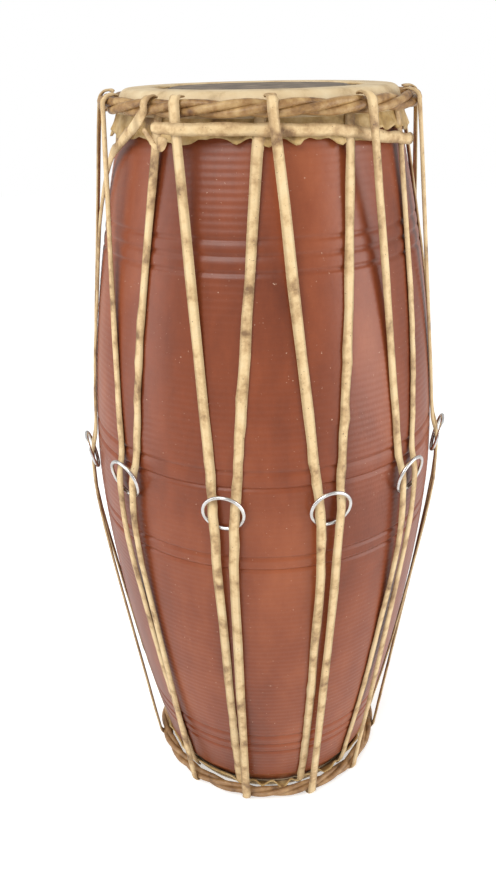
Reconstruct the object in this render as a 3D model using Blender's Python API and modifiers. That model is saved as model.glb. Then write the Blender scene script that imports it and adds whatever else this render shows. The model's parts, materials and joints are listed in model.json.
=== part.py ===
"""Madal: a barrel drum with two laced hide heads and tuning rings that slide on the lacing.

Metres, +Z up. The drum stands on its small head, its axis is Z, and the floor is z = 0.
Azimuths are in degrees about Z: 0 faces -Y, and they grow towards +X.
"""

import math

import bmesh
import bpy
from mathutils import Vector

# Shell
BELLY_RADIUS = 0.121
BELLY_HEIGHT = 0.269
WALL = 0.008
LARGE_EDGE_HEIGHT = 0.515
LARGE_EDGE_RADIUS = 0.0828
UPPER_SWELL = 1.8
SMALL_EDGE_HEIGHT = 0.003
SMALL_BODY_RADIUS = 0.082
SMALL_CHAMFER = 0.0075
SMALL_LIP_SLOPE = 0.6
LOWER_SWELL = 1.62
MOUTH_ROUNDING = 0.003
GROOVE_BANDS = (
    (0.4430, 0.4345, 0.4255),
    (0.3085, 0.2980),
    (0.2485, 0.2390),
    (0.0740, 0.0635, 0.0545),
)
GROOVE_DEPTH = 0.0008
GROOVE_HALF_WIDTH = 0.0022

# Heads
GAP = 0.0003
MEMBRANE = 0.0008
COLLAR = 0.0016
PASTE = 0.0014
PASTE_RIM = 0.004
HOOP_DEPTH = 0.005
LARGE_ROPE_RADIUS = 0.0052
LARGE_COLLAR_OPENING = 0.065
LARGE_PASTE_RADIUS = 0.058
LARGE_MEMBRANE_SKIRT = 0.010
LARGE_COLLAR_SKIRT = 0.020
SMALL_ROPE_RADIUS = 0.0045
SMALL_COLLAR_OPENING = 0.056
SMALL_PASTE_RADIUS = 0.048
SMALL_MEMBRANE_SKIRT = 0.006
SMALL_COLLAR_SKIRT = 0.012

# Lacing
STRAP_WIDTH = 0.0064
STRAP_THICKNESS = 0.0014
LOOP_END_ANGLE = 125.0
BOTTOM_HALF_GAP = 2.1
TAIL_WIDTH = 0.0066
KNOT_WIDTH = 0.003

# Tuning rings
RING_OUTER_DIAMETER = 0.028
RING_WIRE = 0.0024
RING_TILT = 14.0
RING_TRAVEL = 0.030
ENTRY_SPREAD = 0.0080
CROSSING_SPREAD = 0.0068
RUN_END_SPREAD = 0.0052

# The hand lacing as it was pulled: for each ring its azimuth and height, the azimuth of its pair of
# straps on the small hoop, and the azimuth and half spread of the next loop on the large hoop.
LOOPS_IN_FRONT = (
    (-79.0, 0.280, -79.0, -65.1, 1.5),
    (-45.3, 0.290, -41.0, -32.6, 5.3),
    (-11.4, 0.284, -12.6, 1.8, 1.4),
    (18.9, 0.284, 20.0, 34.8, 1.4),
    (48.7, 0.288, 46.5, 64.0, 1.5),
    (79.0, 0.290, 79.0, 95.8, 1.5),
)
LOOPS_BEHIND = 5
RING_HEIGHT_BEHIND = 0.286
TOP_SPREAD_BEHIND = 1.5

# The loose end of the lacing, as azimuth, distance of its inner face off the shell, and depth
# below the large edge
LOOSE_LEG = (
    (-77.0, 0.0031, 0.0750),
    (-75.0, 0.0032, 0.0530),
    (-70.0, 0.0037, 0.0370),
    (-62.0, 0.0042, 0.0270),
    (-53.0, 0.0067, 0.0205),
    (-46.0, 0.0112, 0.0165),
    (-41.0, 0.0141, 0.0125),
)
LOOSE_LEG_TOP_AZIMUTH = -38.0
GIRDLE = (
    (-33.5, 0.0174, 0.0138),
    (-27.3, 0.0180, 0.0140),
    (-21.5, 0.0163, 0.0145),
    (-16.0, 0.0106, 0.0150),
    (-6.0, 0.0070, 0.0155),
    (10.0, 0.0068, 0.0160),
    (25.0, 0.0067, 0.0165),
    (36.0, 0.0059, 0.0195),
    (50.0, 0.0053, 0.0235),
    (63.0, 0.0062, 0.0260),
    (68.5, 0.0066, 0.0270),
)
END_TAB = (
    (-29.5, 0.0163, 0.0182),
    (-29.8, 0.0157, 0.0220),
    (-30.1, 0.0148, 0.0260),
)
END_TAB_TAPER = 0.6
KNOT = (
    (-38.5, 0.0126, 0.0150),
    (-36.2, 0.0126, 0.0185),
    (-34.4, 0.0115, 0.0225),
    (-33.0, 0.0100, 0.0260),
)

# Fineness of the round shapes
TURNING_STEPS = 36
ARC_STEP = 25.0
SIDE_STEP = 0.036
BORE_STEP = 0.075
CONTACT_STEP = 0.034

LARGE = 1
SMALL = -1
EDGE_HEIGHT = {LARGE: LARGE_EDGE_HEIGHT, SMALL: SMALL_EDGE_HEIGHT}
EDGE_RADIUS = {LARGE: LARGE_EDGE_RADIUS, SMALL: SMALL_BODY_RADIUS - SMALL_CHAMFER}
ROPE_RADIUS = {LARGE: LARGE_ROPE_RADIUS, SMALL: SMALL_ROPE_RADIUS}
MEMBRANE_SKIRT = {LARGE: LARGE_MEMBRANE_SKIRT, SMALL: SMALL_MEMBRANE_SKIRT}
COLLAR_SKIRT = {LARGE: LARGE_COLLAR_SKIRT, SMALL: SMALL_COLLAR_SKIRT}
COLLAR_OPENING = {LARGE: LARGE_COLLAR_OPENING, SMALL: SMALL_COLLAR_OPENING}
PASTE_RADIUS = {LARGE: LARGE_PASTE_RADIUS, SMALL: SMALL_PASTE_RADIUS}

COLLAR_OFFSET = GAP + MEMBRANE + GAP
STRAP_OFFSET = COLLAR_OFFSET + COLLAR + GAP
ROPE_OFFSET = STRAP_OFFSET + STRAP_THICKNESS + GAP

RING_RADIUS = (RING_OUTER_DIAMETER - RING_WIRE) / 2
RING_LEAN = math.sin(math.radians(RING_TILT))
RING_AXIS_RADIUS = BELLY_RADIUS + GAP + RING_WIRE / 2 + RING_RADIUS * RING_LEAN


def body_radius(height):
    """Outer radius of the swelling barrel."""
    if height >= BELLY_HEIGHT:
        share = (height - BELLY_HEIGHT) / (LARGE_EDGE_HEIGHT - BELLY_HEIGHT)
        return BELLY_RADIUS - (BELLY_RADIUS - LARGE_EDGE_RADIUS) * share**UPPER_SWELL
    share = (BELLY_HEIGHT - height) / (BELLY_HEIGHT - SMALL_EDGE_HEIGHT)
    return BELLY_RADIUS - (BELLY_RADIUS - SMALL_BODY_RADIUS) * share**LOWER_SWELL


def lip_radius(height):
    """Outer radius of the chamfer at the small mouth."""
    return EDGE_RADIUS[SMALL] + SMALL_LIP_SLOPE * (height - SMALL_EDGE_HEIGHT)


def shell_radius(height):
    return min(body_radius(height), lip_radius(height))


def seat_slope(end):
    """How fast the shell widens just inside one mouth."""
    step = 0.001
    height = EDGE_HEIGHT[end] - end * step
    return (shell_radius(height) - EDGE_RADIUS[end]) / step


def seat_point(end, offset, depth):
    """The point (radius, height) this deep past a mouth's edge, this far off the shell's side."""
    slope = seat_slope(end)
    radius = EDGE_RADIUS[end] + slope * depth + offset * math.hypot(1.0, slope)
    return radius, EDGE_HEIGHT[end] - end * depth


def seat_line(end, offset, inner_radius, skirt):
    """The line that a hide takes over a mouth: flat, round the edge and down the outside."""
    bend = math.degrees(math.atan(seat_slope(end)))
    corner = seat_point(end, -MOUTH_ROUNDING, MOUTH_ROUNDING)
    line = [(inner_radius, EDGE_HEIGHT[end] + end * offset)]
    for angle in arc_angles(90.0, bend):
        line.append(round_point(*corner, MOUTH_ROUNDING + offset, end * angle))
    line.append(seat_point(end, offset, skirt))
    return line


def round_point(radius, height, size, angle):
    turn = math.radians(angle)
    return radius + size * math.cos(turn), height + size * math.sin(turn)


def arc_angles(start, stop):
    count = max(1, math.ceil(abs(stop - start) / ARC_STEP))
    return [start + (stop - start) * i / count for i in range(count + 1)]


def hoop_centre(end):
    return seat_point(end, ROPE_OFFSET + ROPE_RADIUS[end], HOOP_DEPTH)


def clear_scene():
    for old in list(bpy.data.objects):
        bpy.data.objects.remove(old, do_unlink=True)
    collection = bpy.data.collections.new("Madal")
    bpy.context.scene.collection.children.link(collection)
    return collection


def make_material(name, colour, roughness, metallic=0.0):
    material = bpy.data.materials.new(name)
    material.use_nodes = True
    shader = material.node_tree.nodes["Principled BSDF"]
    shader.inputs["Base Color"].default_value = (*colour, 1.0)
    shader.inputs["Roughness"].default_value = roughness
    shader.inputs["Metallic"].default_value = metallic
    return material


def add_object(name, mesh, material):
    obj = bpy.data.objects.new(name, mesh)
    mesh.materials.append(material)
    PARTS.objects.link(obj)
    return obj


def turned(name, outline, material, closed):
    """A piece turned about Z from an outline that runs down its outer side."""
    bm = bmesh.new()
    corners = [bm.verts.new((radius, 0.0, height)) for radius, height in outline]
    for first, second in zip(corners, corners[1:]):
        bm.edges.new((first, second))
    if closed:
        bm.edges.new((corners[-1], corners[0]))
    mesh = bpy.data.meshes.new(name)
    bm.to_mesh(mesh)
    bm.free()
    obj = add_object(name, mesh, material)
    screw = obj.modifiers.new("Turn", "SCREW")
    screw.angle = math.tau
    screw.steps = TURNING_STEPS
    screw.render_steps = TURNING_STEPS
    screw.use_merge_vertices = True
    screw.merge_threshold = 0.00001
    screw.use_smooth_shade = True
    return obj


def both_ways(end, outline):
    """Outlines are written for the large head and run the other way for the small one."""
    return outline if end == LARGE else outline[::-1]


def make_shell(material):
    """The hollow barrel, with its turned groove bands."""
    large_mouth = seat_line(LARGE, 0.0, LARGE_EDGE_RADIUS - WALL, MOUTH_ROUNDING)[:-1]
    small_mouth = seat_line(SMALL, 0.0, EDGE_RADIUS[SMALL] - WALL, MOUTH_ROUNDING)[:-1]
    side = [(shell_radius(height) - depth, height) for height, depth in side_stations()]
    bore = []
    for height in even_heights(SMALL_EDGE_HEIGHT, LARGE_EDGE_HEIGHT, BORE_STEP):
        bore.append((shell_radius(height) - WALL, height))
    outline = large_mouth[1:] + side + small_mouth[::-1] + bore[1:]
    return turned("shell", outline, material, closed=True)


def even_heights(low, high, step):
    count = math.ceil((high - low) / step)
    return [low + (high - low) * i / count for i in range(count + 1)]


def side_stations():
    """Heights and depths of the shell's side from top to bottom, with three to each groove."""
    stations = []
    for band in GROOVE_BANDS:
        for centre in band:
            stations.append((centre + GROOVE_HALF_WIDTH, 0.0))
            stations.append((centre, GROOVE_DEPTH))
            stations.append((centre - GROOVE_HALF_WIDTH, 0.0))
    grooved = [height for height, _ in stations]
    chamfer_top = SMALL_EDGE_HEIGHT
    while lip_radius(chamfer_top) < body_radius(chamfer_top):
        chamfer_top += GROOVE_DEPTH
    for height in even_heights(chamfer_top, LARGE_EDGE_HEIGHT, SIDE_STEP)[:-1]:
        if min(abs(height - other) for other in grooved) > SIDE_STEP / 4:
            stations.append((height, 0.0))
    return sorted(stations, reverse=True)


def make_membrane(name, end, material):
    """The playing skin: a disc over the mouth with a short skirt."""
    outer = seat_line(end, GAP + MEMBRANE, 0.0, MEMBRANE_SKIRT[end])
    inner = seat_line(end, GAP, 0.0, MEMBRANE_SKIRT[end])
    return turned(name, both_ways(end, outer + inner[::-1]), material, closed=False)


def make_collar(name, end, material):
    """The outer hide: a ring on the membrane that goes down behind the hoop to its hem."""
    outer = seat_line(end, COLLAR_OFFSET + COLLAR, COLLAR_OPENING[end], COLLAR_SKIRT[end])
    inner = seat_line(end, COLLAR_OFFSET, COLLAR_OPENING[end], COLLAR_SKIRT[end])
    return turned(name, both_ways(end, outer + inner[::-1]), material, closed=True)


def make_paste(name, end, material):
    """The dried tuning paste in the middle of a head."""
    floor = EDGE_HEIGHT[end] + end * (GAP + MEMBRANE + GAP)
    crown = floor + end * PASTE
    radius = PASTE_RADIUS[end]
    outline = [(0.0, crown), (radius - PASTE_RIM, crown), (radius, floor), (0.0, floor)]
    return turned(name, both_ways(end, outline), material, closed=False)


def make_hoop(name, end, material):
    """The twisted hide rope that the lacing pulls on."""
    radius, height = hoop_centre(end)
    bpy.ops.mesh.primitive_torus_add(
        major_segments=TURNING_STEPS,
        minor_segments=10,
        major_radius=radius,
        minor_radius=ROPE_RADIUS[end],
        location=(0.0, 0.0, height),
    )
    return adopt(name, material)


def make_ring(name, azimuth, height, material):
    """A wire ring round one pair of straps. Its own origin is its centre, on its slide axis."""
    turn = math.radians(azimuth)
    bpy.ops.mesh.primitive_torus_add(
        major_segments=16,
        minor_segments=6,
        major_radius=RING_RADIUS,
        minor_radius=RING_WIRE / 2,
        location=(RING_AXIS_RADIUS * math.sin(turn), -RING_AXIS_RADIUS * math.cos(turn), height),
        rotation=(math.radians(90.0 + RING_TILT), 0.0, turn),
    )
    return adopt(name, material)


def adopt(name, material):
    """Takes the primitive just added as a named part, shaded smooth."""
    obj = bpy.context.object
    obj.name = name
    obj.data.name = name
    obj.data.materials.append(material)
    obj.data.shade_smooth()
    for holder in list(obj.users_collection):
        holder.objects.unlink(obj)
    PARTS.objects.link(obj)
    return obj


def taut(points):
    """The line that a tight strap takes over these (radius, height) points, from top to bottom."""
    line = []
    for point in sorted(points, key=lambda p: p[1]):
        while len(line) > 1 and lies_inside(line[-2], line[-1], point):
            line.pop()
        line.append(point)
    return line[::-1]


def lies_inside(low, middle, high):
    share = (middle[1] - low[1]) / max(high[1] - low[1], 1e-9)
    return middle[0] <= low[0] + (high[0] - low[0]) * share


def hoop_arc(end, start, stop):
    """Points of a strap's inner face round the outside of a hoop, between two angles."""
    radius, height = hoop_centre(end)
    size = ROPE_RADIUS[end] + GAP
    return [round_point(radius, height, size, end * angle) for angle in arc_angles(start, stop)]


def behind_hoop(end):
    """Points of a strap's inner face between the collar and the hoop."""
    depths = (HOOP_DEPTH, COLLAR_SKIRT[end])
    return [seat_point(end, STRAP_OFFSET, depth) for depth in depths]


def resting_points(high, low):
    """Points of a strap's inner face where it could lie on the shell."""
    count = math.ceil((high - low) / CONTACT_STEP)
    heights = [low + (high - low) * i / count for i in range(count + 1)]
    return [(shell_radius(height) + GAP, height) for height in heights]


def end_points(end, in_front):
    """The fixed points of a strap at one hoop: those that pull it taut, and its tucked end."""
    hem = seat_point(end, STRAP_OFFSET, COLLAR_SKIRT[end])
    if in_front:
        tucked = hoop_arc(end, LOOP_END_ANGLE, 90.0)[:-1]
        return hoop_arc(end, 90.0, -50.0) + [hem], tucked
    return behind_hoop(end), []


def run_radius():
    """Radius of a strap's inner face where it runs straight over the ring's lower arc."""
    outer_edge = CROSSING_SPREAD + STRAP_WIDTH / 2
    drop = math.sqrt(RING_RADIUS**2 - outer_edge**2)
    return RING_AXIS_RADIUS - drop * RING_LEAN + RING_WIRE / 2 + GAP


def leg_line(ring_height, top_in_front, bottom_in_front):
    """(radius, height) points of one strap's inner face, from the large hoop to the small one."""
    entry = ring_height + RING_OUTER_DIAMETER / 2
    run_top = ring_height + RING_WIRE / 2
    run_end = ring_height - RING_OUTER_DIAMETER / 2 - RING_TRAVEL
    large_fixed, large_tucked = end_points(LARGE, top_in_front)
    small_fixed, small_tucked = end_points(SMALL, bottom_in_front)
    upper = taut(large_fixed + resting_points(LARGE_EDGE_HEIGHT - COLLAR_SKIRT[LARGE], entry))
    lower_rest = resting_points(run_end, SMALL_EDGE_HEIGHT + COLLAR_SKIRT[SMALL])[:-1]
    lower = taut(small_fixed + lower_rest + [(run_radius(), run_end)])
    middle = [(run_radius(), run_top)]
    return large_tucked + upper + middle + lower + small_tucked[::-1], entry, run_end


def spread_azimuths(line, marks):
    """Azimuths along a strap that passes its marks, (height, azimuth), turning as a tight strap does."""
    azimuths = []
    for index, (radius, height) in enumerate(line):
        if index == 0:
            lengths = [0.0]
            continue
        before = line[index - 1]
        step = math.hypot(radius - before[0], height - before[1])
        lengths.append(lengths[-1] + step / (radius * before[0]))
    places = [min(range(len(line)), key=lambda i, h=h: abs(line[i][1] - h)) for h, _ in marks]
    places[0] = 0
    places[-1] = len(line) - 1
    for index in range(len(line)):
        leg = max(i for i in range(len(places) - 1) if places[i] <= index)
        start, stop = places[leg], places[leg + 1]
        share = (lengths[index] - lengths[start]) / (lengths[stop] - lengths[start])
        azimuths.append(marks[leg][1] + (marks[leg + 1][1] - marks[leg][1]) * share)
    return azimuths


def facing(line, index):
    """Outward direction (radial, up) of a strap that runs down or round a hoop."""
    before = line[max(index - 1, 0)]
    after = line[min(index + 1, len(line) - 1)]
    across, down = after[0] - before[0], after[1] - before[1]
    length = math.hypot(across, down)
    return -down / length, across / length


def in_space(azimuth, radius, height):
    turn = math.radians(azimuth)
    return Vector((radius * math.sin(turn), -radius * math.cos(turn), height))


def make_ribbon(name, stations, width, material, end_widths=(1.0, 1.0)):
    """A flat strap along stations (azimuth, radius, height, outward radial, outward up)."""
    count = len(stations) - 1
    bm = bmesh.new()
    bmesh.ops.create_grid(bm, x_segments=count, y_segments=1, size=1.0)
    centres = [in_space(azimuth, radius, height) for azimuth, radius, height, _, _ in stations]
    for vert in bm.verts:
        index = round((vert.co.x + 1.0) / 2 * count)
        side = 1.0 if vert.co.y > 0 else -1.0
        azimuth, _, _, radial, up = stations[index]
        outward = in_space(azimuth, radial, up)
        along = centres[min(index + 1, count)] - centres[max(index - 1, 0)]
        half = width / 2
        if index == 0:
            half *= end_widths[0]
        if index == count:
            half *= end_widths[1]
        vert.co = centres[index] + side * half * outward.cross(along).normalized()
    mesh = bpy.data.meshes.new(name)
    bm.to_mesh(mesh)
    bm.free()
    obj = add_object(name, mesh, material)
    solid = obj.modifiers.new("Hide", "SOLIDIFY")
    solid.thickness = STRAP_THICKNESS
    solid.offset = 1.0
    return obj


def ring_marks(loop, side, entry, run_end):
    """Heights and azimuths that a strap passes from its ring down to the small hoop."""
    azimuth, height, bottom_azimuth = loop
    spreads = (
        (entry, ENTRY_SPREAD),
        (height + RING_WIRE / 2, CROSSING_SPREAD),
        (run_end, RUN_END_SPREAD),
    )
    marks = []
    for mark_height, spread in spreads:
        marks.append((mark_height, azimuth + side * math.degrees(spread / run_radius())))
    marks.append((SMALL_EDGE_HEIGHT, bottom_azimuth + side * BOTTOM_HALF_GAP))
    return marks


def make_leg(name, loop, side, top_azimuth, material):
    """One strap of a ring's pair. The left one crosses in front of the large hoop."""
    on_left = side < 0
    line, entry, run_end = leg_line(loop[1], top_in_front=on_left, bottom_in_front=not on_left)
    marks = ring_marks(loop, side, entry, run_end)
    azimuths = spread_azimuths(line, [(LARGE_EDGE_HEIGHT, top_azimuth), *marks])
    stations = []
    for index, (radius, station_height) in enumerate(line):
        stations.append((azimuths[index], radius, station_height, *facing(line, index)))
    return make_ribbon(name, stations, STRAP_WIDTH, material)


def loose_stations(route):
    """Stations of a strap that faces straight out, from its route along the shell."""
    stations = []
    for azimuth, stand_off, depth in route:
        height = LARGE_EDGE_HEIGHT - depth
        stations.append((azimuth, shell_radius(height) + stand_off, height, 1.0, 0.0))
    return stations


def make_loose_leg(name, loop, side, material):
    """The strap whose top was led sideways under its neighbour and over the hoop further on."""
    line, entry, run_end = leg_line(loop[1], top_in_front=False, bottom_in_front=True)
    lead = loose_stations(LOOSE_LEG)
    lead_height = lead[0][2]
    line = [point for point in line if point[1] < lead_height - CONTACT_STEP / 2]
    marks = ring_marks(loop, side, entry, run_end)
    azimuths = spread_azimuths(line, [(lead_height, LOOSE_LEG[0][0]), *marks])
    stations = []
    over = hoop_arc(LARGE, LOOP_END_ANGLE, -20.0)
    for index, (radius, station_height) in enumerate(over):
        stations.append((LOOSE_LEG_TOP_AZIMUTH, radius, station_height, *facing(over, index)))
    stations.extend(reversed(lead))
    for index, (radius, station_height) in enumerate(line):
        stations.append((azimuths[index], radius, station_height, *facing(line, index)))
    return make_ribbon(name, stations, STRAP_WIDTH, material)


def all_loops():
    """Every loop: ring azimuth, ring height, bottom azimuth, next top azimuth and half spread."""
    loops = list(LOOPS_IN_FRONT)
    first, last = loops[0][0] + 360.0, loops[-1][0]
    spacing = (first - last) / (LOOPS_BEHIND + 1)
    for index in range(1, LOOPS_BEHIND + 1):
        azimuth = last + spacing * index
        loops.append(
            (azimuth, RING_HEIGHT_BEHIND, azimuth, azimuth + spacing / 2, TOP_SPREAD_BEHIND)
        )
    return loops


def make_lacing(hide, metal):
    loops = all_loops()
    for index, (azimuth, height, bottom_azimuth, top_azimuth, spread) in enumerate(loops):
        number = f"{index + 1:02d}"
        before = loops[index - 1]
        left_top = before[3] + before[4] - (360.0 if index == 0 else 0.0)
        loop = (azimuth, height, bottom_azimuth)
        make_leg(f"lace_{number}_left", loop, -1, left_top, hide)
        if index == 0:
            make_loose_leg(f"lace_{number}_right", loop, 1, hide)
        else:
            make_leg(f"lace_{number}_right", loop, 1, top_azimuth - spread, hide)
        make_ring(f"tuning_ring_{number}", azimuth, height, metal)


def make_loose_ends(hide):
    """The spare length of lacing, led round under the large hoop and tied off."""
    make_ribbon("lace_girdle", loose_stations(GIRDLE), TAIL_WIDTH, hide)
    tab_widths = (1.0, END_TAB_TAPER)
    make_ribbon("lace_end_tab", loose_stations(END_TAB), TAIL_WIDTH, hide, end_widths=tab_widths)
    make_ribbon("lace_knot", loose_stations(KNOT), KNOT_WIDTH, hide)


PARTS = clear_scene()
PAINTED = make_material("painted shell", (0.19, 0.045, 0.022), 0.35)
SKIN = make_material("pale skin", (0.80, 0.66, 0.44), 0.6)
COLLAR_HIDE = make_material("collar hide", (0.82, 0.66, 0.42), 0.6)
TUNING_PASTE = make_material("tuning paste", (0.03, 0.028, 0.026), 0.7)
ROPE = make_material("twisted hide", (0.50, 0.30, 0.12), 0.65)
LACE = make_material("raw hide lace", (0.74, 0.56, 0.32), 0.65)
STEEL = make_material("ring steel", (0.72, 0.70, 0.68), 0.3, metallic=1.0)

make_shell(PAINTED)
for side_name, head_end in (("large", LARGE), ("small", SMALL)):
    make_membrane(f"{side_name}_head_skin", head_end, SKIN)
    make_collar(f"{side_name}_head_collar", head_end, COLLAR_HIDE)
    make_paste(f"{side_name}_head_paste", head_end, TUNING_PASTE)
    make_hoop(f"{side_name}_head_hoop", head_end, ROPE)
make_lacing(LACE, STEEL)
make_loose_ends(LACE)
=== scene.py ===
# %% [markdown]
# A madal is a barrel drum: one hollow turned shell, two heads of hide, and a single long strip of
# raw hide that zigzags between two twisted hide hoops and pulls both heads tight. The working
# model holds every piece at its real size and place, and this script makes what the eye sees.

# %% Load the working model
import json
import math

import bmesh
import bpy
from mathutils import Matrix, Vector, noise


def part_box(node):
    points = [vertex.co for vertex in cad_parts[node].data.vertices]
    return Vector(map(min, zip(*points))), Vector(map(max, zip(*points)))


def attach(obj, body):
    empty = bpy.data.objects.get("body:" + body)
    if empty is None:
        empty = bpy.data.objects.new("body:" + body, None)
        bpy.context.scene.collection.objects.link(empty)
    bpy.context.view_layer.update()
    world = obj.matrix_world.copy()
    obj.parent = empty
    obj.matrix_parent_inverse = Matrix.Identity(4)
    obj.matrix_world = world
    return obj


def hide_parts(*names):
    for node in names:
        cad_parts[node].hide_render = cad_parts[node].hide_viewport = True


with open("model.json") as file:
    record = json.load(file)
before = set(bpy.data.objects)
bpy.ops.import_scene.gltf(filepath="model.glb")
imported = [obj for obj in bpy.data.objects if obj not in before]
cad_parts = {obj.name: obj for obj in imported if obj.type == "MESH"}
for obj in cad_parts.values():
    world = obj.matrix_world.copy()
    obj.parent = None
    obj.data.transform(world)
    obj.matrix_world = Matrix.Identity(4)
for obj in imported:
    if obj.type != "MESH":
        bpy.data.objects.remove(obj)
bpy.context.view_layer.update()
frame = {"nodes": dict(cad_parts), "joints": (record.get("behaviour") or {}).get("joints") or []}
DRUM = "drum"

# %% [markdown]
# The photograph looks down on the drum from close by, so near parts are wide and the foot is
# narrow. The camera sits where that view was taken from: its place, its pitch, yaw and roll, and
# a focal length in pixels that is turned into a lens for a 24 mm tall sensor.

# %% Camera
PHOTO_HEIGHT = 874
FOCAL_PIXELS = 806.99
SENSOR_HEIGHT = 24.0
CLIP_START = 0.01
EYE = Vector((0.0, -0.545, 0.536))
PITCH_DOWN = math.radians(25.4585)
YAW = math.radians(-1.2063)
ROLL = math.radians(-1.2347)

level_right = Vector((math.cos(YAW), -math.sin(YAW), 0.0))
ahead = Vector((
    math.cos(PITCH_DOWN) * math.sin(YAW),
    math.cos(PITCH_DOWN) * math.cos(YAW),
    -math.sin(PITCH_DOWN),
))
level_up = Vector((
    math.sin(PITCH_DOWN) * math.sin(YAW),
    math.sin(PITCH_DOWN) * math.cos(YAW),
    math.cos(PITCH_DOWN),
))
right = math.cos(ROLL) * level_right + math.sin(ROLL) * level_up
up = math.cos(ROLL) * level_up - math.sin(ROLL) * level_right

lens = bpy.data.cameras.new("photo_camera")
lens.sensor_fit = "VERTICAL"
lens.sensor_height = SENSOR_HEIGHT
lens.lens = FOCAL_PIXELS / PHOTO_HEIGHT * SENSOR_HEIGHT
lens.clip_start = CLIP_START
camera = bpy.data.objects.new("photo_camera", lens)
camera.matrix_world = Matrix.Translation(EYE) @ Matrix((right, up, -ahead)).transposed().to_4x4()
bpy.context.scene.collection.objects.link(camera)
bpy.context.scene.camera = camera
bpy.context.scene.view_settings.view_transform = "Standard"
print(f"lens {lens.lens:.2f} mm, eye {EYE.z:.3f} m above the floor")

# %% [markdown]
# The light is that of a plain studio. A white world fills every shadow, and the camera itself sees
# it as pure white. More light would whiten the background too, but it would bleach the hide, so
# Light Path tells the camera's own rays from the rest, and each kind gets its own shader.

# %% World
WHITE = (1.0, 1.0, 1.0, 1.0)
FILL = 0.62
SEEN_WHITE = 1.0


def split_by_ray(tree, lighting, seen, surface):
    """Gives the camera's own rays one shader, and the rays that light the drum another."""
    rays = tree.nodes.new("ShaderNodeLightPath")
    choose = tree.nodes.new("ShaderNodeMixShader")
    tree.links.new(rays.outputs["Is Camera Ray"], choose.inputs["Fac"])
    tree.links.new(lighting.outputs[0], choose.inputs[1])
    tree.links.new(seen.outputs[0], choose.inputs[2])
    tree.links.new(choose.outputs[0], surface)


def white_background(tree, strength):
    background = tree.nodes.new("ShaderNodeBackground")
    background.inputs["Color"].default_value = WHITE
    background.inputs["Strength"].default_value = strength
    return background


world = bpy.data.worlds.new("studio")
bpy.context.scene.world = world
world.use_nodes = True
tree = world.node_tree
tree.nodes.clear()
out = tree.nodes.new("ShaderNodeOutputWorld")
split_by_ray(tree, white_background(tree, FILL), white_background(tree, SEEN_WHITE), out.inputs["Surface"])
print("world lights the drum at", FILL, "and is seen at", SEEN_WHITE)

# %% [markdown]
# One broad lamp stands at the upper left, and a tall one on each side, whose reflections draw the
# long sheen down the glossy paint. An area lamp shines along its own -Z axis, so to_track_quat
# turns each one until that axis points at the middle of the drum.

# %% Lamps
AIM = Vector((0.0, 0.0, 0.27))
LAMPS = (
    ("key", (-0.7, -1.2, 1.5), (1.0, 1.0), 17.0),
    ("left_strip", (-1.1, -0.25, 0.5), (0.5, 1.2), 4.0),
    ("right_strip", (1.1, -0.45, 0.4), (0.7, 1.2), 9.0),
)

for lamp_name, place, size, power in LAMPS:
    lamp = bpy.data.lights.new(lamp_name, "AREA")
    lamp.shape = "RECTANGLE"
    lamp.size, lamp.size_y = size
    lamp.energy = power
    holder = bpy.data.objects.new(lamp_name, lamp)
    holder.location = place
    holder.rotation_euler = (AIM - Vector(place)).to_track_quat("-Z", "Y").to_euler()
    bpy.context.scene.collection.objects.link(holder)
print("lamps:", [name for name, *_ in LAMPS])

# %% [markdown]
# The drum stands on a sheet of white paper. Lit by these lamps alone the paper would look grey, so
# to the camera it also glows a little. It still takes the drum's shadow, and because only the
# camera's rays see the glow, the floor throws no more light back at the drum than real paper does.

# %% Floor
FLOOR_HALF = 3.0
PAPER_COLOUR = (0.93, 0.93, 0.93, 1.0)
PAPER_ROUGHNESS = 0.9
PAPER_GLOW = 0.42

bm = bmesh.new()
bmesh.ops.create_grid(bm, x_segments=1, y_segments=1, size=FLOOR_HALF)
floor_mesh = bpy.data.meshes.new("studio_floor")
bm.to_mesh(floor_mesh)
bm.free()
floor = bpy.data.objects.new("studio_floor", floor_mesh)
bpy.context.scene.collection.objects.link(floor)

paper = bpy.data.materials.new("white_paper")
paper.use_nodes = True
tree = paper.node_tree
paper_shader = tree.nodes["Principled BSDF"]
paper_shader.inputs["Base Color"].default_value = PAPER_COLOUR
paper_shader.inputs["Roughness"].default_value = PAPER_ROUGHNESS
glow = tree.nodes.new("ShaderNodeEmission")
glow.inputs["Strength"].default_value = PAPER_GLOW
lifted = tree.nodes.new("ShaderNodeAddShader")
tree.links.new(paper_shader.outputs[0], lifted.inputs[0])
tree.links.new(glow.outputs[0], lifted.inputs[1])
split_by_ray(tree, paper_shader, lifted, tree.nodes["Material Output"].inputs["Surface"])
floor_mesh.materials.append(paper)
print("paper floor:", 2 * FLOOR_HALF, "m square")

# %% [markdown]
# Every finish here is a pattern in space, read from the object's own coordinates, so it needs no
# picture and no unwrapping. Each starts with the same two steps: a noise chooses between two to
# four colours, and a finer noise, used as a bump, gives the surface its grain.

# %% A helper for mottled finishes
DRIFT_DETAIL, DRIFT_ROUGHNESS = 7.0, 0.62
GRAIN_DETAIL = 4.0
GRAIN_HEIGHT = 0.0005
NO_STRETCH = (1.0, 1.0, 1.0)


def add_noise(tree, coordinates, size, detail):
    """A noise whose blots are about size metres across."""
    texture = tree.nodes.new("ShaderNodeTexNoise")
    texture.inputs["Scale"].default_value = 1.0 / size
    texture.inputs["Detail"].default_value = detail
    tree.links.new(coordinates, texture.inputs["Vector"])
    return texture


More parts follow.
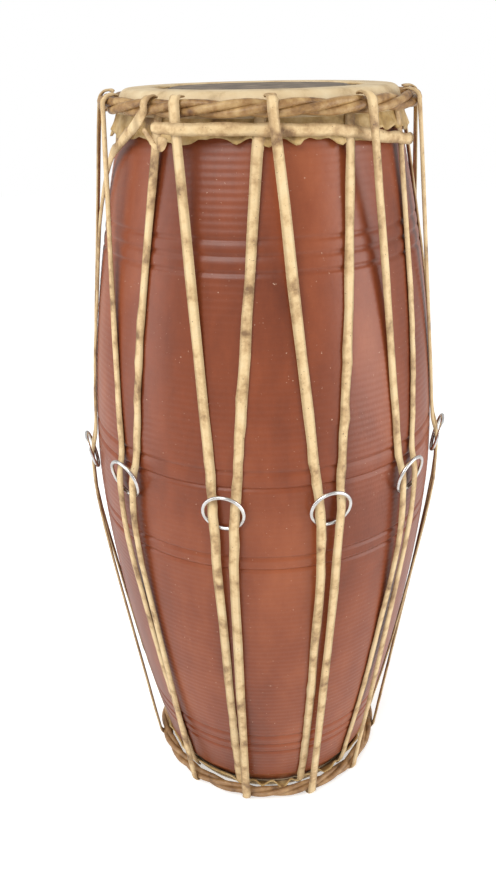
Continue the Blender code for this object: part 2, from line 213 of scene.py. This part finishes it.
def mottled(name, colours, size, roughness, grain, grain_size, stretch=NO_STRETCH, metallic=0.0):
    """A finish whose colour drifts between stops (place, colour) of a noise, with a fine grain."""
    material = bpy.data.materials.new(name)
    material.use_nodes = True
    tree = material.node_tree
    shader = tree.nodes["Principled BSDF"]
    shader.inputs["Roughness"].default_value = roughness
    shader.inputs["Metallic"].default_value = metallic
    where = tree.nodes.new("ShaderNodeTexCoord")
    scale = tree.nodes.new("ShaderNodeMapping")
    scale.inputs["Scale"].default_value = stretch
    tree.links.new(where.outputs["Object"], scale.inputs["Vector"])

    drift = add_noise(tree, scale.outputs["Vector"], size, DRIFT_DETAIL)
    drift.inputs["Roughness"].default_value = DRIFT_ROUGHNESS
    ramp = tree.nodes.new("ShaderNodeValToRGB")
    while len(ramp.color_ramp.elements) < len(colours):
        ramp.color_ramp.elements.new(0.5)
    for stop, (place, colour) in zip(ramp.color_ramp.elements, colours):
        stop.position = place
        stop.color = (*colour, 1.0)
    tree.links.new(drift.outputs["Fac"], ramp.inputs["Fac"])
    tree.links.new(ramp.outputs["Color"], shader.inputs["Base Color"])

    fine = add_noise(tree, scale.outputs["Vector"], grain_size, GRAIN_DETAIL)
    bump = tree.nodes.new("ShaderNodeBump")
    bump.inputs["Strength"].default_value = grain
    bump.inputs["Distance"].default_value = GRAIN_HEIGHT
    tree.links.new(fine.outputs["Fac"], bump.inputs["Height"])
    tree.links.new(bump.outputs["Normal"], shader.inputs["Normal"])
    return material


print("the grain is shaded as at most", GRAIN_HEIGHT * 1000, "mm high")

# %% [markdown]
# The paint is a deep red brown under a thin clear gloss. It has worn and gathered dust, so tiny
# pale specks show. A speck is where a fine noise passes a threshold: the higher the threshold, the
# fewer the specks. The drift of colour is drawn out along the drum, as a brush leaves it.

# %% Paint
SPECK_DETAIL = 3.0
SPECK_EDGE = 0.05
MIX_UNDER, MIX_OVER, MIX_RESULT = 6, 7, 2


def tint(material, amount, colour):
    """Lays another colour over a finish, as much as the socket called amount says."""
    tree = material.node_tree
    shader = tree.nodes["Principled BSDF"]
    under = shader.inputs["Base Color"].links[0].from_socket
    mix = tree.nodes.new("ShaderNodeMix")
    mix.data_type = "RGBA"
    mix.inputs[MIX_OVER].default_value = (*colour, 1.0)
    tree.links.new(amount, mix.inputs["Factor"])
    tree.links.new(under, mix.inputs[MIX_UNDER])
    tree.links.new(mix.outputs[MIX_RESULT], shader.inputs["Base Color"])


def add_specks(material, colour, size, threshold):
    """Scatters small dots of another colour over a finish."""
    tree = material.node_tree
    where = tree.nodes.new("ShaderNodeTexCoord")
    dots = add_noise(tree, where.outputs["Object"], size, SPECK_DETAIL)
    cut = tree.nodes.new("ShaderNodeMapRange")
    cut.inputs["From Min"].default_value = threshold
    cut.inputs["From Max"].default_value = threshold + SPECK_EDGE
    tree.links.new(dots.outputs["Fac"], cut.inputs["Value"])
    tint(material, cut.outputs["Result"], colour)


PAINT = mottled(
    "red_brown_paint",
    ((0.30, (0.130, 0.026, 0.008)), (0.50, (0.225, 0.050, 0.015)), (0.72, (0.340, 0.092, 0.032))),
    size=0.07, roughness=0.36, grain=0.16, grain_size=0.0014, stretch=(1.0, 1.0, 0.45),
)
gloss = PAINT.node_tree.nodes["Principled BSDF"].inputs
gloss["Specular IOR Level"].default_value = 0.35
gloss["Coat Weight"].default_value = 0.16
gloss["Coat Roughness"].default_value = 0.30
add_specks(PAINT, (0.62, 0.42, 0.30), size=0.0016, threshold=0.715)
print("paint:", PAINT.name)

# %% [markdown]
# Raw hide is cream where it is clean, grey brown where hands and damp have stained it, and it keeps
# a few dark follicles. A rounded strip is shaded along its two edges, and that shade is painted into
# its colour here, which a pattern in space can't place. So the strip's mesh tells how far across it each
# point lies, and this reads it.

# %% Lace hide
EDGE_SHADE_FROM, EDGE_SHADE_MOST = 0.45, 0.50
ACROSS = "across"


def paint_edge_shade(material, colour, start, most):
    """Paints shade on a strip towards its two edges, where a rounded strap is shaded, by the attribute
    that tells how far across a point is.
    """
    tree = material.node_tree
    across = tree.nodes.new("ShaderNodeAttribute")
    across.attribute_name = ACROSS
    either_side = tree.nodes.new("ShaderNodeMath")
    either_side.operation = "ABSOLUTE"
    tree.links.new(across.outputs["Fac"], either_side.inputs[0])
    ease = tree.nodes.new("ShaderNodeMapRange")
    ease.inputs["From Min"].default_value = start
    ease.inputs["To Max"].default_value = most
    tree.links.new(either_side.outputs[0], ease.inputs["Value"])
    tint(material, ease.outputs["Result"], colour)


LACE = mottled(
    "raw_hide_lace",
    (
        (0.33, (0.22, 0.12, 0.05)),
        (0.43, (0.52, 0.34, 0.16)),
        (0.53, (0.72, 0.52, 0.27)),
        (0.78, (0.80, 0.63, 0.37)),
    ),
    size=0.014, roughness=0.55, grain=0.8, grain_size=0.0012,
)
add_specks(LACE, (0.16, 0.10, 0.06), size=0.0013, threshold=0.68)
# painted shade: the strap's colour darkens towards both edges, as a rounded strap is shaded along its
# sides
paint_edge_shade(LACE, (0.20, 0.11, 0.04), EDGE_SHADE_FROM, EDGE_SHADE_MOST)
print("lace hide:", LACE.name)

# %% [markdown]
# The heads are the same hide at three stages: the collar is clean and cream, its hem is soiled by
# hands and lacing, and the playing skin inside it is thin and smooth. The paste in the middle is
# a dried dark dough, matt and grainy.

# %% Head finishes
COLLAR = mottled(
    "collar_hide",
    ((0.30, (0.40, 0.27, 0.13)), (0.45, (0.64, 0.48, 0.27)), (0.70, (0.76, 0.62, 0.39))),
    size=0.020, roughness=0.55, grain=0.40, grain_size=0.0016,
)
HEM = mottled(
    "hem_hide",
    ((0.32, (0.22, 0.12, 0.04)), (0.48, (0.48, 0.31, 0.11)), (0.68, (0.70, 0.52, 0.26))),
    size=0.014, roughness=0.55, grain=0.55, grain_size=0.0014,
)
MEMBRANE = mottled(
    "playing_skin",
    ((0.30, (0.46, 0.34, 0.20)), (0.60, (0.72, 0.58, 0.38))),
    size=0.03, roughness=0.5, grain=0.2, grain_size=0.002,
)
PASTE = mottled(
    "dried_paste",
    ((0.35, (0.090, 0.070, 0.052)), (0.65, (0.270, 0.210, 0.150))),
    size=0.012, roughness=0.75, grain=0.6, grain_size=0.0018,
)
print("head finishes:", [finish.name for finish in (COLLAR, HEM, MEMBRANE, PASTE)])

# %% [markdown]
# The ropes are older hide, golden above and darker near the floor. The rings are bare steel wire.
# Metal takes most of its look from what it mirrors, so a metallic value of 1, a low roughness and
# two light greys are enough.

# %% Rope and ring finishes
TOP_ROPE = mottled(
    "golden_twisted_hide",
    ((0.32, (0.11, 0.045, 0.014)), (0.48, (0.31, 0.165, 0.055)), (0.70, (0.56, 0.37, 0.16))),
    size=0.010, roughness=0.42, grain=0.7, grain_size=0.0014,
)
LOW_ROPE = mottled(
    "dark_twisted_hide",
    ((0.30, (0.15, 0.075, 0.030)), (0.50, (0.33, 0.18, 0.075)), (0.74, (0.54, 0.35, 0.17))),
    size=0.012, roughness=0.45, grain=0.5, grain_size=0.0014,
)
STEEL = mottled(
    "worn_ring_steel",
    ((0.35, (0.56, 0.54, 0.52)), (0.60, (0.78, 0.77, 0.75))),
    size=0.006, roughness=0.26, grain=0.12, grain_size=0.001, metallic=1.0,
)
print("rope and ring finishes:", [finish.name for finish in (TOP_ROPE, LOW_ROPE, STEEL)])

# %% [markdown]
# Each piece leaves the workshop the same way: its mesh becomes an object at the origin, shaded
# smooth, it rides on the body that carries it, and it stands for its node of the working model.
# Most of the drum is round, so the other helper turns a profile about the drum's axis.

# %% Finishing and turning a piece
TURN_MERGE = 0.00001


def finish_piece(bm, name, material, node, body=DRUM, sharp_degrees=None):
    mesh = bpy.data.meshes.new(name)
    bm.to_mesh(mesh)
    bm.free()
    mesh.materials.append(material)
    mesh.shade_smooth()
    if sharp_degrees:
        mesh.set_sharp_from_angle(angle=math.radians(sharp_degrees))
    piece = bpy.data.objects.new(name, mesh)
    bpy.context.scene.collection.objects.link(piece)
    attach(piece, body)
    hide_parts(node)
    return piece


def close_turned(bm):
    """Joins the seam of a spin and turns every face outwards."""
    bmesh.ops.remove_doubles(bm, verts=bm.verts, dist=TURN_MERGE)
    bmesh.ops.recalc_face_normals(bm, faces=bm.faces)


def turned(profile, steps):
    """Turns a closed profile of (radius, height) points about the drum's axis."""
    bm = bmesh.new()
    verts = [bm.verts.new((0.0, -radius, height)) for radius, height in profile]
    edges = [bm.edges.new(pair) for pair in zip(verts, verts[1:])]
    edges.append(bm.edges.new((verts[-1], verts[0])))
    bmesh.ops.spin(
        bm, geom=verts + edges, cent=(0, 0, 0), axis=(0, 0, 1),
        angle=math.tau, steps=steps, use_merge=True,
    )
    close_turned(bm)
    return bm


print("turned pieces merge points within", TURN_MERGE * 1000, "mm")

# %% [markdown]
# The shell is turned on a lathe, and the tool leaves fine ridges about four millimetres apart all
# the way down. Four bands of deeper grooves decorate it. A profile with a point every millimetre,
# spun about the axis, holds both, so the ridges are real and catch the light.

# %% Shell
BELLY_RADIUS, BELLY_HEIGHT = 0.121, 0.269
LARGE_EDGE = (0.0828, 0.515)
SMALL_EDGE = (0.0745, 0.003)
SMALL_BODY_RADIUS = 0.082
UPPER_SWELL, LOWER_SWELL = 1.8, 1.62
LIP_SLOPE = 0.6
WALL = 0.008
GROOVES = (0.4430, 0.4345, 0.4255, 0.3085, 0.2980, 0.2485, 0.2390, 0.0740, 0.0635, 0.0545)
GROOVE_DEPTH, GROOVE_HALF_WIDTH = 0.0011, 0.0021
RIDGE_PITCH, RIDGE_DEPTH = 0.0041, 0.00016
PROFILE_STEP = 0.001
INSIDE_EVERY = 16
SHELL_STEPS = 108
SHELL_SHARP = 50


def body_radius(height):
    """The plain barrel: a swell above the belly, another below, and a chamfer at the small mouth."""
    if height >= BELLY_HEIGHT:
        share = (height - BELLY_HEIGHT) / (LARGE_EDGE[1] - BELLY_HEIGHT)
        return BELLY_RADIUS - (BELLY_RADIUS - LARGE_EDGE[0]) * share**UPPER_SWELL
    share = (BELLY_HEIGHT - height) / (BELLY_HEIGHT - SMALL_EDGE[1])
    body = BELLY_RADIUS - (BELLY_RADIUS - SMALL_BODY_RADIUS) * share**LOWER_SWELL
    return min(body, SMALL_EDGE[0] + LIP_SLOPE * (height - SMALL_EDGE[1]))


def turned_radius(height):
    """The barrel with its ridges and grooves cut in."""
    cut = RIDGE_DEPTH * (0.5 - 0.5 * math.cos(math.tau * height / RIDGE_PITCH))
    for centre in GROOVES:
        away = abs(height - centre) / GROOVE_HALF_WIDTH
        if away < 1.0:
            cut += GROOVE_DEPTH * (0.5 + 0.5 * math.cos(math.pi * away))
    return body_radius(height) - cut


rows = round((LARGE_EDGE[1] - SMALL_EDGE[1]) / PROFILE_STEP)
heights = [SMALL_EDGE[1] + i * PROFILE_STEP for i in range(rows + 1)]
shell_profile = [(turned_radius(height), height) for height in reversed(heights)]
shell_profile += [(body_radius(height) - WALL, height) for height in heights[::INSIDE_EVERY]]
shell_profile.append((LARGE_EDGE[0] - WALL, LARGE_EDGE[1]))
shell = finish_piece(
    turned(shell_profile, SHELL_STEPS),
    "turned_shell", PAINT, "shell", sharp_degrees=SHELL_SHARP,
)
print("shell faces:", len(shell.data.polygons))

# %% [markdown]
# Each head has a playing skin under a ring of thicker hide, the collar, which is laid on wet and
# pulled down behind the hoop. Seen in section it is one line: flat from its opening to the rim,
# round over the rim, and straight down the side of the shell. Two such lines, one hide apart, are
# its inner and outer face. The same line serves both mouths, with a sign for which way is out.

# %% The line of a collar
LARGE_MOUTH, SMALL_MOUTH = 1, -1
LARGE_OPENING, LARGE_SKIRT = 0.065, 0.0215
SMALL_OPENING, SMALL_SKIRT = 0.056, 0.012
CORNER = 0.003
SLOPE_STEP = 0.001
FLAT_POINTS, CORNER_POINTS, SKIRT_POINTS = 5, 8, 10


def slope_of(edge, sign):
    """How much wider the shell grows for each metre away from its edge."""
    return (body_radius(edge[1] - sign * SLOPE_STEP) - edge[0]) / SLOPE_STEP


def collar_line(edge, sign, offset, opening, skirt):
    """The line of a hide over a mouth, from the opening outwards and down the side."""
    slope = slope_of(edge, sign)
    length = math.hypot(1.0, slope)
    bend = math.atan(slope)
    corner_radius = edge[0] + slope * CORNER - CORNER * length
    line = []
    for i in range(FLAT_POINTS):
        radius = opening + (corner_radius - opening) * i / FLAT_POINTS
        line.append((radius, edge[1] + sign * offset))
    for i in range(CORNER_POINTS + 1):
        turn = math.pi / 2 + (bend - math.pi / 2) * i / CORNER_POINTS
        reach = CORNER + offset
        rise = reach * math.sin(turn) - CORNER
        line.append((corner_radius + reach * math.cos(turn), edge[1] + sign * rise))
    for i in range(1, SKIRT_POINTS + 1):
        depth = CORNER + (skirt - CORNER) * i / SKIRT_POINTS
        line.append((edge[0] + slope * depth + offset * length, edge[1] - sign * depth))
    return line


print(f"below its large edge the shell widens {slope_of(LARGE_EDGE, LARGE_MOUTH):.2f} mm per mm")

# %% [markdown]
# The collar dries in the shape it was pulled to, and its hem was cut by hand, so it flutters in and
# out. The two lines are turned as the shell was, and then every point of the hem is moved a little
# by a smooth noise, more towards the edge. A broad noise and a finer one make it uneven.

# %% Collars
COLLAR_STEPS = 240
GAP, SKIN, COLLAR_WALL = 0.0003, 0.0008, 0.0016
COLLAR_OFFSET = GAP + SKIN + GAP
HEM_FROM = 0.5
HEM_DROP, HEM_FLARE = 0.0060, 0.0045
BROAD_FLUTTER, FINE_FLUTTER, FINE_SHARE = 3.2, 11.0, 0.6


def make_collar(name, node, edge, sign, opening, skirt):
    top = collar_line(edge, sign, COLLAR_OFFSET + COLLAR_WALL, opening, skirt)
    under = collar_line(edge, sign, COLLAR_OFFSET, opening, skirt)
    bm = turned(top + under[::-1], COLLAR_STEPS)
    for vert in bm.verts:
        depth = max(0.0, sign * (edge[1] - vert.co.z)) / skirt
        if depth <= HEM_FROM:
            continue
        outward = Vector((vert.co.x, vert.co.y, 0.0)).normalized()
        azimuth = math.atan2(vert.co.x, -vert.co.y)
        around = Vector((math.cos(azimuth), math.sin(azimuth), 0.0))
        flutter = noise.noise(around * BROAD_FLUTTER + Vector((0, 0, sign)))
        flutter += FINE_SHARE * noise.noise(around * FINE_FLUTTER)
        share = (depth - HEM_FROM) / (1.0 - HEM_FROM)
        vert.co.z -= sign * HEM_DROP * flutter * share
        vert.co += outward * HEM_FLARE * share * abs(flutter)
    piece = finish_piece(bm, name, COLLAR, node)
    piece.data.materials.append(HEM)
    for face in piece.data.polygons:
        depth = sign * (edge[1] - face.center.z) / skirt
        face.material_index = int(depth > HEM_FROM)
    return piece


collars = (
    make_collar("large_collar", "large_head_collar", LARGE_EDGE, LARGE_MOUTH, LARGE_OPENING, LARGE_SKIRT),
    make_collar("small_collar", "small_head_collar", SMALL_EDGE, SMALL_MOUTH, SMALL_OPENING, SMALL_SKIRT),
)
print("collars:", [(collar.name, len(collar.data.polygons)) for collar in collars])

# %% [markdown]
# The playing skin and the disc of paste on it are thin and plain. The working model's own meshes
# are right as they are, so they only get their finish.

# %% Playing skins and paste
for side in ("large", "small"):
    for what, finish in (("skin", MEMBRANE), ("paste", PASTE)):
        node = frame["nodes"][f"{side}_head_{what}"]
        node.data.materials.clear()
        node.data.materials.append(finish)
        print("finished:", node.name)

# %% [markdown]
# Each hoop is a rope of hide strips twisted together while wet. Three strands wind round the
# rope's own centre line as that line goes round the drum. A strand starts as a flat grid: one
# side of the grid runs along the strand, the other goes round it, and the two seams are merged.

# %% Twisted hoops
STRANDS = 3
TWISTS = 7
STRAND_ALONG, STRAND_AROUND = 420, 12
STRAND_OFFSET = 0.50
STRAND_FLATTEN = 0.96
STRAND_LUMP, LUMPS_ROUND, STRAND_SEED = 0.10, 9, 5
STRIP_MERGE = 0.00002


def make_strand(strand, rope, ring, height):
    """One strand of a rope of radius rope, whose centre line is a ring at a height."""
    bm = bmesh.new()
    bmesh.ops.create_grid(bm, x_segments=STRAND_ALONG, y_segments=STRAND_AROUND, size=1.0)
    for vert in bm.verts:
        azimuth = math.pi * (vert.co.x + 1.0)
        around = math.pi * (vert.co.y + 1.0)
        wind = azimuth * TWISTS + math.tau * strand / STRANDS
        spot = (math.cos(azimuth) * LUMPS_ROUND, math.sin(azimuth) * LUMPS_ROUND, strand * STRAND_SEED)
        lump = 1.0 + STRAND_LUMP * noise.noise(Vector(spot))
        offset = rope * STRAND_OFFSET
        thick = rope * (1.0 - STRAND_OFFSET) * lump
        radius = ring + (offset * math.cos(wind) + thick * math.cos(around + wind))
        up_by = offset * math.sin(wind) + thick * math.sin(around + wind) * STRAND_FLATTEN
        vert.co = Vector((radius * math.sin(azimuth), -radius * math.cos(azimuth), height + up_by))
    bmesh.ops.remove_doubles(bm, verts=bm.verts, dist=STRIP_MERGE)
    bmesh.ops.recalc_face_normals(bm, faces=bm.faces)
    return bm


def make_hoop(name, node, material):
    low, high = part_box(node)
    rope = (high.z - low.z) / 2
    ring = (high.x - low.x) / 2 - rope
    height = (high.z + low.z) / 2
    bm = bmesh.new()
    for strand in range(STRANDS):
        part = make_strand(strand, rope, ring, height)
        scratch = bpy.data.meshes.new("strand")
        part.to_mesh(scratch)
        part.free()
        bm.from_mesh(scratch)
        bpy.data.meshes.remove(scratch)
    return finish_piece(bm, name, material, node)


make_hoop("large_rope", "large_head_hoop", TOP_ROPE)
make_hoop("small_rope", "small_head_hoop", LOW_ROPE)
print("hoops:", STRANDS, "strands,", TWISTS, "twists each")

# %% [markdown]
# The lacing is one strip of raw hide. Its finish paints shade towards the strip's edges, so it needs
# to know how far across the strip each point lies. The flat strap of the working model has corners
# on its two edges only, so each corner is marked -1 or +1 for its side, and dividing the faces fills in
# the values between.

# %% How far across the strap
LACE_WIDTH = 0.0065
WIDTH_MISS = 0.15


def mark_sides(bm):
    """Marks each corner with -1 or +1: the side of the strap that it lies on."""
    across = bm.verts.layers.float.new(ACROSS)
    for vert in bm.verts:
        round_drum = Vector((-vert.co.y, vert.co.x, 0.0)).normalized()
        for edge in vert.link_edges:
            if abs(edge.calc_length() - LACE_WIDTH) > WIDTH_MISS * LACE_WIDTH:
                continue
            away = vert.co - edge.other_vert(vert).co
            sideways = away.dot(round_drum)
            vert[across] = math.copysign(1.0, away.z if abs(away.z) > abs(sideways) else sideways)


print("an edge of", LACE_WIDTH * 1000, "mm runs across the strap")

# %% [markdown]
# The strip was cut by hand, so its edges wander and its thickness changes. Each length starts from
# a merged copy of the working model's flat strap. Its faces are divided, the corners are relaxed
# round, its middle is crowned, and a noise pushes the points about: freely along its face and only
# outwards across it, so it never sinks into the shell. Blender shifts its vector noise by the clock
# unless it is given a seed, so it gets one here, and the straps come out the same each time.

# %% Lacing
FLAT_ANGLE, SHAPE_ANGLE = math.radians(25), math.radians(80)
LACE_CUTS = 3
RELAX_ROUNDS, RELAX = 5, 0.5
CROWN = 0.0006
WANDER, WANDER_SIZE = 0.0008, 0.011
LUMP, LUMP_SIZE = 0.0006, 0.0035
OUTWARD_SHARE = 0.4
LACE_SEED = 1


def roughen(bm):
    """Crowns a strap and pushes its points about, as hand-cut hide is uneven."""
    across = bm.verts.layers.float[ACROSS]
    for vert in bm.verts:
        outward = Vector((vert.co.x, vert.co.y, 0.0)).normalized()
        push = noise.noise_vector(vert.co / WANDER_SIZE) * WANDER
        push += noise.noise_vector(vert.co / LUMP_SIZE) * LUMP
        lift = push.dot(outward)
        push += outward * (abs(lift) * OUTWARD_SHARE - lift)
        crown = CROWN * (1.0 - vert[across] ** 2)
        vert.co += push + outward * crown


def make_lace(node):
    bm = bmesh.new()
    bm.from_mesh(frame["nodes"][node].data)
    bmesh.ops.remove_doubles(bm, verts=bm.verts, dist=STRIP_MERGE)
    bmesh.ops.join_triangles(
        bm, faces=bm.faces, angle_face_threshold=FLAT_ANGLE, angle_shape_threshold=SHAPE_ANGLE
    )
    mark_sides(bm)
    bmesh.ops.subdivide_edges(bm, edges=bm.edges, cuts=LACE_CUTS, use_grid_fill=True)
    for _ in range(RELAX_ROUNDS):
        bmesh.ops.smooth_vert(
            bm, verts=bm.verts, factor=RELAX, use_axis_x=True, use_axis_y=True, use_axis_z=True
        )
    roughen(bm)
    bmesh.ops.recalc_face_normals(bm, faces=bm.faces)
    return finish_piece(bm, f"hide_{node}", LACE, node)


noise.seed_set(LACE_SEED)
lace_nodes = sorted(name for name in frame["nodes"] if name.startswith("lace_"))
laces = [make_lace(node) for node in lace_nodes]
print("laces:", len(laces), "with", sum(len(lace.data.polygons) for lace in laces), "faces")

# %% [markdown]
# Each tuning ring is a closed wire ring round one pair of straps. Pushed down, it gathers them
# and tightens both heads. A small circle spun about the ring's own axis makes a smooth wire. Its
# place comes from the working model's box, and it leans out at the top as it does there.

# %% Tuning rings
RING_DIAMETER, RING_WIRE = 0.028, 0.0024
RING_TILT = math.radians(14.0)
WIRE_SIDES, RING_STEPS = 16, 72


def make_ring(number):
    node = f"tuning_ring_{number:02d}"
    low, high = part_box(node)
    centre = (low + high) / 2
    azimuth = math.atan2(centre.x, -centre.y)
    bm = bmesh.new()
    bmesh.ops.create_circle(bm, segments=WIRE_SIDES, radius=RING_WIRE / 2, cap_ends=False)
    offset = Vector(((RING_DIAMETER - RING_WIRE) / 2, 0.0, 0.0))
    stand = Matrix.Translation(offset) @ Matrix.Rotation(math.pi / 2, 4, "X")
    bmesh.ops.transform(bm, matrix=stand, verts=bm.verts)
    bmesh.ops.spin(
        bm, geom=bm.verts[:] + bm.edges[:], cent=(0, 0, 0), axis=(0, 0, 1),
        angle=math.tau, steps=RING_STEPS, use_merge=True,
    )
    close_turned(bm)
    place = Matrix.Translation(centre) @ Matrix.Rotation(azimuth, 4, "Z")
    place = place @ Matrix.Rotation(math.pi / 2 + RING_TILT, 4, "X")
    bmesh.ops.transform(bm, matrix=place, verts=bm.verts)
    return finish_piece(
        bm, f"wire_ring_{number:02d}", STEEL, node, body=f"ring_{number:02d}"
    )


rings = [make_ring(number) for number in range(1, len(frame["joints"]) + 1)]
print("rings:", len(rings))
